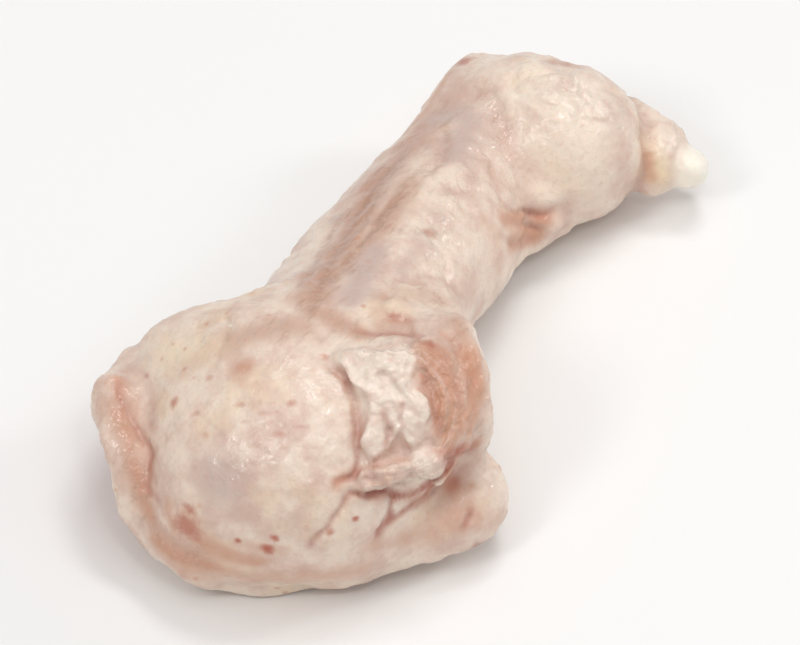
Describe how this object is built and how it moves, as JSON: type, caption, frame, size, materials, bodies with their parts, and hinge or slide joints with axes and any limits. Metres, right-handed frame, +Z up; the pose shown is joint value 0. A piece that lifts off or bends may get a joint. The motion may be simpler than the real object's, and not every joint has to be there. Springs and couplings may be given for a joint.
{
  "type": "raw chicken wing drumette",
  "caption": "Raw chicken wing drumette, the plump upper joint of the wing, skin on, lying on its side, with rolled loose skin, a curl of white fat and a cut shoulder end.",
  "frame": {"origin": "middle of the footprint on the surface the piece lies on", "axes": "+X along the bone from the thick shoulder end to the elbow knob, +Z up"},
  "size_m": [0.0981, 0.0526, 0.0335],
  "materials": {
    "raw_skin": "damp raw poultry skin, pale cream to pink, soft wet gloss"
  },
  "bodies": {
    "root": {"drumette": "raw_skin"}
  },
  "joints": []
}
